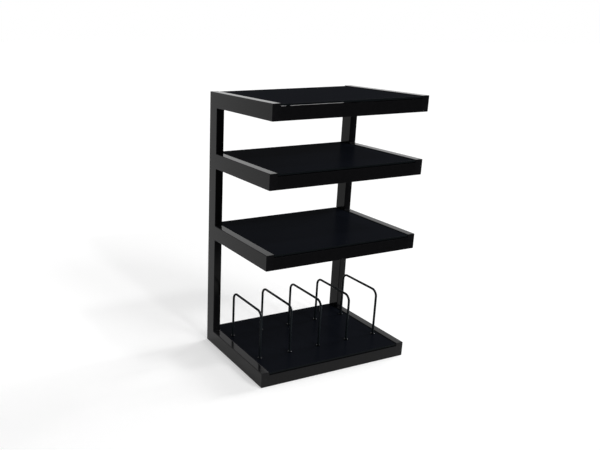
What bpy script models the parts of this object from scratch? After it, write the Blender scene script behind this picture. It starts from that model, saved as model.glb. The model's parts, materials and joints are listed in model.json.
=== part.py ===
"""Four-level hi-fi rack: two E-shaped tube frames, glass shelves and wire record dividers.

Units are metres and +Z is up. The origin is on the floor, under the middle of the rack. +X runs to the rack's
right as seen from the front, and the front faces -Y.
"""

import math

import bmesh
import bpy
from mathutils import Matrix, Vector

# Side frames: each is one post with four arms, all of one box tube.
RACK_WIDTH = 0.570
RACK_DEPTH = 0.395
TUBE_WIDTH = 0.028
TUBE_DEPTH = 0.051
TUBE_WALL = 0.002
TUBE_CORNER = 0.0022
END_PLATE_THICKNESS = 0.002

# Clear heights between the arms, from the base upwards.
RECORD_BAY_HEIGHT = 0.3465
MIDDLE_BAY_HEIGHT = 0.200
UPPER_BAY_HEIGHT = 0.151

# Cross rails that join the side frames under each shelf.
RAIL_HEIGHT = 0.040
RAIL_DEPTH = 0.020
RAIL_WALL = 0.0015
RAIL_CORNER = 0.0015

# Rubber pads on the rails, and the glass that lies on them with a slit of light under its edge.
PAD_THICKNESS = 0.0024
PAD_RADIUS = 0.005
PAD_END_INSET = 0.031
GLASS_THICKNESS = 0.006
GLASS_SIDE_CLEARANCE = 0.001
GLASS_EDGE_SETBACK = 0.0008
GLASS_ARRIS = 0.0008

# Record dividers: bent wire that stands in sockets in the base glass.
DIVIDER_COUNT = 5
DIVIDER_SIDE_INSET = 0.023
DIVIDER_SPAN = 0.189
DIVIDER_RISE = 0.166
DIVIDER_SETBACK = -0.003
DIVIDER_BEND_RADIUS = 0.023
WIRE_RADIUS = 0.004

# Flanged sockets for the wire ends.
SOCKET_FLANGE_RADIUS = 0.0065
SOCKET_FLANGE_HEIGHT = 0.0025
SOCKET_CHAMFER = 0.0007
SOCKET_BARREL_RADIUS = 0.0055
SOCKET_FLOOR = 0.0018
SOCKET_TAIL = 0.003

# Floor glides under the base arms.
GLIDE_RADIUS = 0.011
GLIDE_THICKNESS = 0.0012
GLIDE_END_INSET = 0.030

# Clearance between pieces that meet or seat on each other.
FIT_GAP = 0.0003

# Facets on round work.
CORNER_STEPS = 3
BEND_STEPS = 8
TURN_STEPS = 20
GLIDE_STEPS = 24

# Derived places.
HALF_WIDTH = RACK_WIDTH / 2
HALF_DEPTH = RACK_DEPTH / 2
INNER_HALF_WIDTH = HALF_WIDTH - TUBE_WIDTH
POST_X = HALF_WIDTH - TUBE_WIDTH / 2
POST_Y = HALF_DEPTH - TUBE_DEPTH / 2
POST_FRONT_Y = HALF_DEPTH - TUBE_DEPTH
BASE_UNDERSIDE = GLIDE_THICKNESS + FIT_GAP
LOWER_UNDERSIDE = BASE_UNDERSIDE + TUBE_DEPTH + RECORD_BAY_HEIGHT
UPPER_UNDERSIDE = LOWER_UNDERSIDE + TUBE_DEPTH + MIDDLE_BAY_HEIGHT
TOP_UNDERSIDE = UPPER_UNDERSIDE + TUBE_DEPTH + UPPER_BAY_HEIGHT
LEVELS = {
    "base": BASE_UNDERSIDE,
    "lower": LOWER_UNDERSIDE,
    "upper": UPPER_UNDERSIDE,
    "top": TOP_UNDERSIDE,
}
MITRED_LEVELS = {"base": -1, "top": 1}
SIDES = {"left": -1, "right": 1}
PAD_X = INNER_HALF_WIDTH - PAD_END_INSET
PAD_LIFT = RAIL_HEIGHT + FIT_GAP
GLASS_LIFT = PAD_LIFT + PAD_THICKNESS + FIT_GAP
BASE_GLASS_TOP = BASE_UNDERSIDE + GLASS_LIFT + GLASS_THICKNESS
DIVIDER_ENDS = {"front": DIVIDER_SETBACK - DIVIDER_SPAN / 2, "rear": DIVIDER_SETBACK + DIVIDER_SPAN / 2}
SOCKET_BORE_RADIUS = WIRE_RADIUS + FIT_GAP
SOCKET_HOLE_RADIUS = SOCKET_BARREL_RADIUS + FIT_GAP
SOCKET_BOTTOM = -GLASS_THICKNESS - SOCKET_TAIL
SOCKET_FLOOR_TOP = SOCKET_BOTTOM + SOCKET_FLOOR
WIRE_END = SOCKET_FLOOR_TOP + FIT_GAP

# Base colour in linear RGB, metallic and roughness of each material.
FINISHES = {
    "black_painted_steel": ((0.012, 0.0125, 0.013, 1.0), 0.0, 0.38),
    "black_glass": ((0.006, 0.007, 0.0085, 1.0), 0.0, 0.06),
    "black_rubber": ((0.010, 0.010, 0.010, 1.0), 0.0, 0.85),
    "black_painted_wire": ((0.010, 0.010, 0.0105, 1.0), 0.0, 0.40),
    "bright_steel": ((0.62, 0.62, 0.61, 1.0), 1.0, 0.22),
    "black_plastic": ((0.015, 0.015, 0.015, 1.0), 0.0, 0.60),
}


def clear_scene():
    """Remove whatever the file holds."""
    for old in list(bpy.data.objects):
        bpy.data.objects.remove(old, do_unlink=True)


def new_collection(name):
    """Make a collection of the scene."""
    collection = bpy.data.collections.new(name)
    bpy.context.scene.collection.children.link(collection)
    return collection


def make_material(piece, finish):
    """Make one piece's own material from a named finish."""
    colour, metallic, roughness = FINISHES[finish]
    material = bpy.data.materials.new(f"{finish}_{piece}")
    material.use_nodes = True
    shader = material.node_tree.nodes["Principled BSDF"]
    shader.inputs["Base Color"].default_value = colour
    shader.inputs["Metallic"].default_value = metallic
    shader.inputs["Roughness"].default_value = roughness
    return material


def add_piece(name, mesh, finish, location):
    """Put a mesh in the rack as a named piece with its own material."""
    piece = bpy.data.objects.new(name, mesh)
    PARTS.objects.link(piece)
    piece.location = location
    mesh.materials.clear()
    mesh.materials.append(make_material(name, finish))
    return piece


def add_cutter(name, mesh, location):
    """Put a mesh beside the parts as a hidden cutter."""
    cutter = bpy.data.objects.new(name, mesh)
    CUTTERS.objects.link(cutter)
    cutter.location = location
    cutter.hide_render = True
    cutter.display_type = "WIRE"
    return cutter


def rounded_rectangle(width, height, corner):
    """Points round a rectangle with arcs at its corners, anticlockwise, centred on the origin."""
    points = []
    for turn, (side_x, side_y) in enumerate(((1, 1), (-1, 1), (-1, -1), (1, -1))):
        centre = Vector((side_x * (width / 2 - corner), side_y * (height / 2 - corner)))
        for step in range(CORNER_STEPS + 1):
            angle = (turn + step / CORNER_STEPS) * math.pi / 2
            points.append(centre + corner * Vector((math.cos(angle), math.sin(angle))))
    return points


def rectangle(width, height):
    """The four corners of a rectangle, anticlockwise, centred on the origin."""
    return [Vector((x * width / 2, y * height / 2)) for x, y in ((1, 1), (-1, 1), (-1, -1), (1, -1))]


def extruded_outline(name, outlines, length):
    """Fill the outlines, the second one as a hole, and extrude them along local Z, centred on the origin."""
    curve = bpy.data.curves.new(name, "CURVE")
    curve.dimensions = "2D"
    curve.fill_mode = "BOTH"
    curve.extrude = length / 2
    for outline in outlines:
        spline = curve.splines.new("POLY")
        spline.points.add(len(outline) - 1)
        spline.use_cyclic_u = True
        for point, place in zip(spline.points, outline):
            point.co = (place.x, place.y, 0.0, 1.0)
    return curve_to_mesh(name, curve)


def curve_to_mesh(name, curve):
    """Turn a curve into a closed mesh with its caps welded on."""
    guide = bpy.data.objects.new(f"{name}_curve", curve)
    CUTTERS.objects.link(guide)
    bpy.context.view_layer.update()
    evaluated = guide.evaluated_get(bpy.context.evaluated_depsgraph_get())
    mesh = bpy.data.meshes.new_from_object(evaluated)
    mesh.name = name
    bpy.data.objects.remove(guide, do_unlink=True)
    body = bmesh.new()
    body.from_mesh(mesh)
    bmesh.ops.remove_doubles(body, verts=body.verts, dist=0.00001)
    bmesh.ops.recalc_face_normals(body, faces=body.faces)
    body.to_mesh(mesh)
    body.free()
    return mesh


def cut_ends(mesh, start_mitre=0, end_mitre=0):
    """Shear the ends of a prism along local Z into mitres.

    A mitre of 1 makes that end longer towards +Y and shorter towards -Y at 45 degrees about the centre line,
    -1 the other way round, and 0 leaves it square.
    """
    for vertex in mesh.vertices:
        mitre = end_mitre if vertex.co.z > 0 else -start_mitre
        vertex.co.z += mitre * vertex.co.y


def box_tube(name, width, depth, wall, corner, length, start_mitre=0, end_mitre=0):
    """Make an open box tube along local Z, its width along local X, with square or mitred ends."""
    outlines = [rounded_rectangle(width, depth, corner), rectangle(width - 2 * wall, depth - 2 * wall)]
    mesh = extruded_outline(name, outlines, length)
    cut_ends(mesh, start_mitre, end_mitre)
    return mesh


def shade_round(mesh):
    """Shade a turned or bent piece smooth, with its edges kept."""
    mesh.shade_smooth()
    mesh.set_sharp_from_angle(angle=math.radians(35))


def build_posts():
    """Make the two rear posts, mitred to the base and top arms."""
    underside = BASE_UNDERSIDE
    crown = TOP_UNDERSIDE + TUBE_DEPTH
    # The mitre runs corner to corner, so the tube's centre line ends half a tube depth inside each corner.
    length = crown - underside - TUBE_DEPTH
    for side, sign in SIDES.items():
        mesh = box_tube(
            f"{side}_post", TUBE_WIDTH, TUBE_DEPTH, TUBE_WALL, TUBE_CORNER, length, start_mitre=1, end_mitre=1
        )
        add_piece(f"{side}_post", mesh, "black_painted_steel", (sign * POST_X, POST_Y, (underside + crown) / 2))


def arm_frame():
    """Turn a tube along local Z into one that runs backwards along +Y with its depth along +Z."""
    return Matrix(((-1, 0, 0), (0, 0, 1), (0, 1, 0))).to_4x4()


def bore_cutter(name, length, place):
    """Make the prism that hollows an arm from its back end and leaves its front end closed."""
    reach = length + TUBE_DEPTH
    outline = rectangle(TUBE_WIDTH - 2 * TUBE_WALL, TUBE_DEPTH - 2 * TUBE_WALL)
    mesh = extruded_outline(name, [outline], reach)
    mesh.transform(Matrix.Translation((0, 0, (reach - length) / 2 + END_PLATE_THICKNESS)))
    mesh.transform(arm_frame())
    return add_cutter(name, mesh, place)


def build_arms():
    """Make the arms: hollow tubes whose front ends are closed by a welded and ground plate."""
    front = -HALF_DEPTH
    mitre_back = POST_Y - FIT_GAP * math.sqrt(2)
    for level, underside in LEVELS.items():
        mitre = MITRED_LEVELS.get(level, 0)
        back = mitre_back if mitre else POST_FRONT_Y - FIT_GAP
        length = back - front
        for side, sign in SIDES.items():
            name = f"{side}_{level}_arm"
            mesh = extruded_outline(name, [rounded_rectangle(TUBE_WIDTH, TUBE_DEPTH, TUBE_CORNER)], length)
            cut_ends(mesh, end_mitre=mitre)
            mesh.transform(arm_frame())
            place = (sign * POST_X, (front + back) / 2, underside + TUBE_DEPTH / 2)
            arm = add_piece(name, mesh, "black_painted_steel", place)
            bore = arm.modifiers.new("bore", "BOOLEAN")
            bore.operation = "DIFFERENCE"
            bore.object = bore_cutter(f"{name}_bore", length, place)


def rail_frame():
    """Turn a tube along local Z into one that runs along +X with its depth along +Z."""
    return Matrix(((0, 0, 1), (1, 0, 0), (0, 1, 0))).to_4x4()


def disc(name, radius, thickness, steps):
    """Make a flat round disc about the origin."""
    mesh = bpy.data.meshes.new(name)
    body = bmesh.new()
    bmesh.ops.create_cone(body, cap_ends=True, segments=steps, radius1=radius, radius2=radius, depth=thickness)
    body.to_mesh(mesh)
    body.free()
    shade_round(mesh)
    return mesh


def build_rails():
    """Make the front and rear rails of each level and the rubber pads on them."""
    length = 2 * (INNER_HALF_WIDTH - FIT_GAP)
    rail_y = HALF_DEPTH - RAIL_DEPTH / 2
    for level, underside in LEVELS.items():
        for end, sign in (("front", -1), ("rear", 1)):
            mesh = box_tube(f"{level}_{end}_rail", RAIL_DEPTH, RAIL_HEIGHT, RAIL_WALL, RAIL_CORNER, length)
            mesh.transform(rail_frame())
            place = (0, sign * rail_y, underside + RAIL_HEIGHT / 2)
            add_piece(f"{level}_{end}_rail", mesh, "black_painted_steel", place)
            for side, side_sign in SIDES.items():
                name = f"{side}_{level}_{end}_pad"
                place = (side_sign * PAD_X, sign * rail_y, underside + PAD_LIFT + PAD_THICKNESS / 2)
                add_piece(name, disc(name, PAD_RADIUS, PAD_THICKNESS, TURN_STEPS), "black_rubber", place)


def divider_places():
    """The places of the dividers across the rack, from left to right, the outer ones inset from the arms."""
    reach = INNER_HALF_WIDTH - DIVIDER_SIDE_INSET
    pitch = 2 * reach / (DIVIDER_COUNT - 1)
    return [index * pitch - reach for index in range(DIVIDER_COUNT)]


def socket_hole_cutter(glass_z):
    """Make the drills for the socket holes in the base glass."""
    mesh = bpy.data.meshes.new("socket_holes")
    body = bmesh.new()
    for x in divider_places():
        for y in DIVIDER_ENDS.values():
            bmesh.ops.create_cone(
                body,
                cap_ends=True,
                segments=TURN_STEPS,
                radius1=SOCKET_HOLE_RADIUS,
                radius2=SOCKET_HOLE_RADIUS,
                depth=2 * GLASS_THICKNESS,
                matrix=Matrix.Translation((x, y, 0)),
            )
    body.to_mesh(mesh)
    body.free()
    return add_cutter("socket_holes", mesh, (0, 0, glass_z))


def build_glass():
    """Make the glass shelves, with a ground arris on their edges and socket holes in the base one."""
    width = 2 * (INNER_HALF_WIDTH - GLASS_SIDE_CLEARANCE)
    depth = 2 * (HALF_DEPTH - GLASS_EDGE_SETBACK)
    for level, underside in LEVELS.items():
        mesh = bpy.data.meshes.new(f"{level}_glass")
        body = bmesh.new()
        bmesh.ops.create_cube(body, size=1.0, matrix=Matrix.Diagonal((width, depth, GLASS_THICKNESS, 1.0)))
        body.to_mesh(mesh)
        body.free()
        glass_z = underside + GLASS_LIFT + GLASS_THICKNESS / 2
        glass = add_piece(f"{level}_glass", mesh, "black_glass", (0, 0, glass_z))
        arris = glass.modifiers.new("arris", "BEVEL")
        arris.width = GLASS_ARRIS
        arris.segments = 2
        if level == "base":
            holes = glass.modifiers.new("socket_holes", "BOOLEAN")
            holes.operation = "DIFFERENCE"
            holes.object = socket_hole_cutter(glass_z)


def divider_path():
    """Points along the bent wire, from the front foot to the rear foot, about the divider's middle."""
    reach = DIVIDER_SPAN / 2
    bend_y = reach - DIVIDER_BEND_RADIUS
    bend_z = DIVIDER_RISE - DIVIDER_BEND_RADIUS
    points = [Vector((0, -reach, WIRE_END))]
    for step in range(BEND_STEPS + 1):
        angle = step / BEND_STEPS * math.pi / 2
        arc = DIVIDER_BEND_RADIUS * Vector((0, -math.cos(angle), math.sin(angle)))
        points.append(Vector((0, -bend_y, bend_z)) + arc)
    mirrored = [Vector((0, -point.y, point.z)) for point in reversed(points)]
    return points + mirrored


def build_dividers():
    """Make the bent-wire dividers and the sockets that they stand in."""
    for number, x in enumerate(divider_places(), start=1):
        name = f"divider_{number}"
        curve = bpy.data.curves.new(name, "CURVE")
        curve.dimensions = "3D"
        curve.bevel_depth = WIRE_RADIUS
        curve.bevel_resolution = 4
        curve.use_fill_caps = True
        path = divider_path()
        spline = curve.splines.new("POLY")
        spline.points.add(len(path) - 1)
        for point, place in zip(spline.points, path):
            point.co = (*place, 1.0)
        mesh = curve_to_mesh(name, curve)
        shade_round(mesh)
        add_piece(name, mesh, "black_painted_wire", (x, DIVIDER_SETBACK, BASE_GLASS_TOP))
        for end, y in DIVIDER_ENDS.items():
            build_socket(f"{name}_{end}_socket", (x, y, BASE_GLASS_TOP))


def build_socket(name, place):
    """Turn one flanged socket about its bore, with its zero height on the glass."""
    flange_bottom = FIT_GAP
    flange_top = flange_bottom + SOCKET_FLANGE_HEIGHT
    profile = (
        (0.0, SOCKET_FLOOR_TOP),
        (SOCKET_BORE_RADIUS, SOCKET_FLOOR_TOP),
        (SOCKET_BORE_RADIUS, flange_top),
        (SOCKET_FLANGE_RADIUS - SOCKET_CHAMFER, flange_top),
        (SOCKET_FLANGE_RADIUS, flange_top - SOCKET_CHAMFER),
        (SOCKET_FLANGE_RADIUS, flange_bottom),
        (SOCKET_BARREL_RADIUS, flange_bottom),
        (SOCKET_BARREL_RADIUS, SOCKET_BOTTOM),
        (0.0, SOCKET_BOTTOM),
    )
    mesh = bpy.data.meshes.new(name)
    outline = bmesh.new()
    corners = [outline.verts.new((radius, 0.0, height)) for radius, height in profile]
    for start, end in zip(corners, corners[1:]):
        outline.edges.new((start, end))
    outline.to_mesh(mesh)
    outline.free()
    socket = add_piece(name, mesh, "bright_steel", place)
    turn = socket.modifiers.new("turn", "SCREW")
    turn.axis = "Z"
    turn.angle = 2 * math.pi
    turn.steps = TURN_STEPS
    turn.render_steps = TURN_STEPS
    turn.use_merge_vertices = True
    turn.merge_threshold = 0.00001


def build_glides():
    """Make the floor glides near the ends of the base arms."""
    front_y = -HALF_DEPTH + GLIDE_END_INSET
    rear_y = HALF_DEPTH - GLIDE_END_INSET
    for side, sign in SIDES.items():
        for end, y in (("front", front_y), ("rear", rear_y)):
            name = f"{side}_{end}_glide"
            mesh = disc(name, GLIDE_RADIUS, GLIDE_THICKNESS, GLIDE_STEPS)
            add_piece(name, mesh, "black_plastic", (sign * POST_X, y, GLIDE_THICKNESS / 2))


clear_scene()
PARTS = new_collection("hifi_rack")
CUTTERS = new_collection("cutters")
build_posts()
build_arms()
build_rails()
build_glass()
build_dividers()
build_glides()
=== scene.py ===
"""Looks of the hi-fi rack: welded tube frames, black glass shelves and wire record dividers.

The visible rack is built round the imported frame, in metres: seamless welded side frames, cross rails with
their weld beads, black glass shelves on rubber pads, bent-wire dividers in turned sockets, and floor glides.
A plain white studio and the photograph's camera stand round it.
"""

import json
import logging
import math
from collections.abc import Callable, Iterable, Sequence
from dataclasses import dataclass, field
from enum import Enum
from typing import Any

import bmesh
import bpy
from mathutils import Matrix, Vector

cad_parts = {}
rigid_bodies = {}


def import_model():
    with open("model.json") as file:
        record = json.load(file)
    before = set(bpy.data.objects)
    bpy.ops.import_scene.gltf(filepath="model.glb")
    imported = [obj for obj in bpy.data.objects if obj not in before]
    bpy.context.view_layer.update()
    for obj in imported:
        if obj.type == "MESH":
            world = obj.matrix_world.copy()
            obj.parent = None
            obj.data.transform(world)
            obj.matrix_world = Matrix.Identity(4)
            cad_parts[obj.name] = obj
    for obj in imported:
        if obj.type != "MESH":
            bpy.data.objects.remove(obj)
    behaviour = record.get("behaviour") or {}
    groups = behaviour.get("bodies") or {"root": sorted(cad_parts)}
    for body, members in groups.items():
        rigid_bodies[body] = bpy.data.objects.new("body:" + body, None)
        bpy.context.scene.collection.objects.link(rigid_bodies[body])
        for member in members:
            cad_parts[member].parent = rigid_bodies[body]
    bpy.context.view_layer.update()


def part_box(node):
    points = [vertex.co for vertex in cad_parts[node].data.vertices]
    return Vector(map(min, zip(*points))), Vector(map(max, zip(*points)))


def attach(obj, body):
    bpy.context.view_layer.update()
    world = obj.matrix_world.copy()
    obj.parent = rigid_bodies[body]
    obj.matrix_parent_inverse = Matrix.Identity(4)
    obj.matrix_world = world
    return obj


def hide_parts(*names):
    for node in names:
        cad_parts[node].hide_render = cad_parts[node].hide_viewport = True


LOG = logging.getLogger("hifi_rack")
IMAGE_WIDTH = 600
IMAGE_HEIGHT = 450
MM = 0.001
MERGE_DISTANCE = 0.00001
SHARP_ANGLE = math.radians(40)
# A face is flat if its normal has more than this share along one axis.
FLAT_SHARE = 0.9999
# The Mix node's colour sockets, which share their names with its other sockets.
MIX_SHARE, MIX_FIRST, MIX_SECOND, MIX_RESULT = 0, 6, 7, 2
WEAR_ATTRIBUTE = "edge_wear"
RADIUS_ATTRIBUTE = "turned_radius"


class Side(Enum):
    """The rack's two side frames."""

    LEFT = "left"
    RIGHT = "right"


class Level(Enum):
    """The four shelves, from the floor up."""

    BASE = "base"
    LOWER = "lower"
    UPPER = "upper"
    TOP = "top"


class End(Enum):
    """The front and the back of the rack."""

    FRONT = "front"
    REAR = "rear"


class Body(Enum):
    """The bodies that do not move with a numbered divider."""

    FRAME = "frame"
    BASE_SHELF = "base_shelf"


class Slot(Enum):
    """The record's material slots."""

    FRAME = "frame"
    SHELVES = "shelves"
    PADS = "pads"
    DIVIDERS = "dividers"
    SOCKETS = "sockets"
    GLIDES = "glides"


def linear(hex_colour: str) -> tuple[float, float, float, float]:
    """Turn an sRGB hex colour into linear RGBA.

    Args:
        hex_colour: The colour as #RRGGBB.

    Returns:
        Linear red, green and blue, with an alpha of 1.
    """
    shares = [int(hex_colour[start:start + 2], 16) / 255 for start in (1, 3, 5)]
    return (*[s / 12.92 if s <= 0.04045 else ((s + 0.055) / 1.055) ** 2.4 for s in shares], 1.0)


def per_metre(size_mm: float) -> float:
    """Turn a pattern's size in millimetres into its texture scale."""
    return 1 / (size_mm * MM)


def add_node(
    tree: bpy.types.NodeTree, kind: str, inputs: dict[str | int, Any] | None = None, **settings: Any
) -> bpy.types.Node:
    """Add a node with its settings, its plain input values and its links.

    Args:
        tree: The node tree that gets the node.
        kind: The node's type name.
        inputs: For each input, a plain value, or the output socket to link to it.
        settings: Attributes of the node itself.

    Returns:
        The new node.
    """
    node = tree.nodes.new(kind)
    for name, value in settings.items():
        setattr(node, name, value)
    for key, value in (inputs or {}).items():
        if isinstance(value, bpy.types.NodeSocket):
            tree.links.new(value, node.inputs[key])
        else:
            node.inputs[key].default_value = value
    return node


@dataclass(frozen=True)
class Finish:
    """A finish that makes its material once and then hands out the same one."""

    name: str

    def material(self) -> bpy.types.Material:
        """Hand out the finish's material, made on first use.

        Returns:
            The material.
        """
        made = bpy.data.materials.get(self.name)
        if made is None:
            made = bpy.data.materials.new(self.name)
            made.use_nodes = True
            tree = made.node_tree
            tree.nodes.clear()
            place = add_node(tree, "ShaderNodeTexCoord").outputs["Object"]
            shader = add_node(tree, "ShaderNodeBsdfPrincipled", self.dress(tree, place))
            add_node(tree, "ShaderNodeOutputMaterial", {"Surface": shader.outputs[0]})
        return made

    def dress(self, tree: bpy.types.NodeTree, place: bpy.types.NodeSocket) -> dict[str | int, Any]:
        """Add the finish's patterns.

        Args:
            tree: The material's node tree.
            place: Object coordinates, in metres.

        Returns:
            The inputs of the material's shader.
        """
        raise NotImplementedError


@dataclass(frozen=True)
class PowderCoat(Finish):
    """Satin black polyester powder coat, sprayed and baked on steel.

    It gives the eye a deep, even black with a soft sheen that grows at a glancing angle, a faint orange
    peel, slightly greyer rounded edges where the film is thin, and a breath of dust near the floor.
    """

    name: str = "satin_powder_coat_baked_on_steel"
    colour: str = "#0B0B0C"
    edge_colour: str = "#18181A"
    dust_colour: str = "#3A3936"
    roughness: tuple[float, float] = (0.12, 0.18)
    specular: float = 0.10
    # Real orange peel is under 1 mm, too fine to show, so it is drawn at 2.5 mm.
    peel_mm: float = 2.5
    peel_detail: float = 2.0
    peel_depth_mm: float = 0.012
    peel_strength: float = 0.6
    cloud_mm: float = 85.0
    cloud_detail: float = 4.0
    cloud_range: tuple[float, float] = (0.3, 0.7)
    rub_mm: float = 14.0
    rub_detail: float = 3.0
    speck_mm: float = 5.0
    speck_detail: float = 5.0
    dust_height_mm: float = 70.0
    # The specks halve it on average.
    dust_share: float = 0.12

    def dress(self, tree: bpy.types.NodeTree, place: bpy.types.NodeSocket) -> dict[str | int, Any]:
        """Add orange peel, uneven sheen, thin edges and floor dust.

        Args:
            tree: The material's node tree.
            place: Object coordinates, in metres.

        Returns:
            The inputs of the material's shader.
        """
        peel = add_node(
            tree,
            "ShaderNodeTexNoise",
            {"Vector": place, "Scale": per_metre(self.peel_mm), "Detail": self.peel_detail},
        )
        bump = add_node(
            tree,
            "ShaderNodeBump",
            {
                "Height": peel.outputs["Fac"],
                "Strength": self.peel_strength,
                "Distance": self.peel_depth_mm * MM,
            },
        )
        cloud = add_node(
            tree,
            "ShaderNodeTexNoise",
            {"Vector": place, "Scale": per_metre(self.cloud_mm), "Detail": self.cloud_detail},
        )
        sheen = add_node(
            tree,
            "ShaderNodeMapRange",
            {
                "Value": cloud.outputs["Fac"],
                "From Min": self.cloud_range[0],
                "From Max": self.cloud_range[1],
                "To Min": self.roughness[0],
                "To Max": self.roughness[1],
            },
        )
        edge = add_node(tree, "ShaderNodeAttribute", attribute_name=WEAR_ATTRIBUTE)
        rub = add_node(
            tree,
            "ShaderNodeTexNoise",
            {"Vector": place, "Scale": per_metre(self.rub_mm), "Detail": self.rub_detail},
        )
        thin = add_node(
            tree, "ShaderNodeMath", {0: edge.outputs["Fac"], 1: rub.outputs["Fac"]}, operation="MULTIPLY"
        )
        body = add_node(
            tree,
            "ShaderNodeMix",
            {
                MIX_SHARE: thin.outputs[0],
                MIX_FIRST: linear(self.colour),
                MIX_SECOND: linear(self.edge_colour),
            },
            data_type="RGBA",
        )
        height = add_node(tree, "ShaderNodeSeparateXYZ", {"Vector": place})
        low = add_node(
            tree,
            "ShaderNodeMapRange",
            {
                "Value": height.outputs["Z"],
                "From Min": self.dust_height_mm * MM,
                "From Max": 0.0,
                "To Min": 0.0,
                "To Max": self.dust_share,
            },
            interpolation_type="SMOOTHSTEP",
        )
        speck = add_node(
            tree,
            "ShaderNodeTexNoise",
            {"Vector": place, "Scale": per_metre(self.speck_mm), "Detail": self.speck_detail},
        )
        dust = add_node(
            tree, "ShaderNodeMath", {0: low.outputs[0], 1: speck.outputs["Fac"]}, operation="MULTIPLY"
        )
        colour = add_node(
            tree,
            "ShaderNodeMix",
            {
                MIX_SHARE: dust.outputs[0],
                MIX_FIRST: body.outputs[MIX_RESULT],
                MIX_SECOND: linear(self.dust_colour),
            },
            data_type="RGBA",
        )
        return {
            "Base Color": colour.outputs[MIX_RESULT],
            "Roughness": sheen.outputs[0],
            "Specular IOR Level": self.specular,
            "Normal": bump.outputs[0],
        }


@dataclass(frozen=True)
class BlackGlass(Finish):
    """Float glass dyed black in its body, with its faces as smooth as they left the float bath.

    It gives the eye a deep bluish black that mirrors the posts and wires faintly, with the faintest of
    wiping marks in its tint.
    """

    name: str = "black_dyed_float_glass"
    colour: str = "#0C0E13"
    smear_colour: str = "#0E1015"
    gloss_weight: float = 0.013
    gloss_ior: float = 2.0
    gloss_roughness: float = 0.26
    smear_mm: tuple[float, float, float] = (160.0, 35.0, 35.0)
    smear_turn: float = 0.35
    smear_detail: float = 6.0
    wave_mm: float = 60.0
    wave_detail: float = 1.0
    wave_depth_mm: float = 0.004
    wave_strength: float = 0.3

    def dress(self, tree: bpy.types.NodeTree, place: bpy.types.NodeSocket) -> dict[str | int, Any]:
        """Add the tint, wiping marks and the faint waviness of float glass.

        Args:
            tree: The material's node tree.
            place: Object coordinates, in metres.

        Returns:
            The inputs of the material's shader.
        """
        scale = [per_metre(size) for size in self.smear_mm]
        turn = (0.0, 0.0, self.smear_turn)
        wiped = add_node(tree, "ShaderNodeMapping", {"Vector": place, "Scale": scale, "Rotation": turn})
        smear = add_node(
            tree,
            "ShaderNodeTexNoise",
            {"Vector": wiped.outputs[0], "Scale": 1.0, "Detail": self.smear_detail},
        )
        tint = add_node(
            tree,
            "ShaderNodeMix",
            {
                MIX_SHARE: smear.outputs["Fac"],
                MIX_FIRST: linear(self.colour),
                MIX_SECOND: linear(self.smear_colour),
            },
            data_type="RGBA",
        )
        wave = add_node(
            tree,
            "ShaderNodeTexNoise",
            {"Vector": place, "Scale": per_metre(self.wave_mm), "Detail": self.wave_detail},
        )
        bump = add_node(
            tree,
            "ShaderNodeBump",
            {
                "Height": wave.outputs["Fac"],
                "Strength": self.wave_strength,
                "Distance": self.wave_depth_mm * MM,
            },
        )
        return {
            "Base Color": tint.outputs[MIX_RESULT],
            "Specular IOR Level": 0.0,
            "Normal": bump.outputs[0],
            "Coat Weight": self.gloss_weight,
            "Coat IOR": self.gloss_ior,
            "Coat Roughness": self.gloss_roughness,
            "Coat Normal": bump.outputs[0],
        }


@dataclass(frozen=True)
class GroundGlassEdge(Finish):
    """The same glass where its edge was ground flat and its arris taken off.

    It gives the eye a satin, slightly green black with fine grinding lines along the edge.
    """

    name: str = "ground_edge_of_black_glass"
    colour: str = "#101315"
    dull_colour: str = "#0C0F11"
    specular: float = 0.02
    roughness: tuple[float, float] = (0.26, 0.38)
    # Real grinding lines are about 0.1 mm apart, too fine to show, so they are drawn at 0.9 mm.
    line_mm: tuple[float, float, float] = (40.0, 40.0, 0.9)
    line_detail: float = 2.0
    line_depth_mm: float = 0.01
    line_strength: float = 0.5

    def dress(self, tree: bpy.types.NodeTree, place: bpy.types.NodeSocket) -> dict[str | int, Any]:
        """Add the satin sheen and the grinding lines.

        Args:
            tree: The material's node tree.
            place: Object coordinates, in metres.

        Returns:
            The inputs of the material's shader.
        """
        scale = [per_metre(size) for size in self.line_mm]
        drawn = add_node(tree, "ShaderNodeMapping", {"Vector": place, "Scale": scale})
        lines = add_node(
            tree,
            "ShaderNodeTexNoise",
            {"Vector": drawn.outputs[0], "Scale": 1.0, "Detail": self.line_detail},
        )
        bump = add_node(
            tree,
            "ShaderNodeBump",
            {
                "Height": lines.outputs["Fac"],
                "Strength": self.line_strength,
                "Distance": self.line_depth_mm * MM,
            },
        )
        tint = add_node(
            tree,
            "ShaderNodeMix",
            {
                MIX_SHARE: lines.outputs["Fac"],
                MIX_FIRST: linear(self.dull_colour),
                MIX_SECOND: linear(self.colour),
            },
            data_type="RGBA",
        )
        sheen = add_node(
            tree,
            "ShaderNodeMapRange",
            {"Value": lines.outputs["Fac"], "To Min": self.roughness[0], "To Max": self.roughness[1]},
        )
        return {
            "Base Color": tint.outputs[MIX_RESULT],
            "Roughness": sheen.outputs[0],
            "Specular IOR Level": self.specular,
            "Normal": bump.outputs[0],
        }


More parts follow.
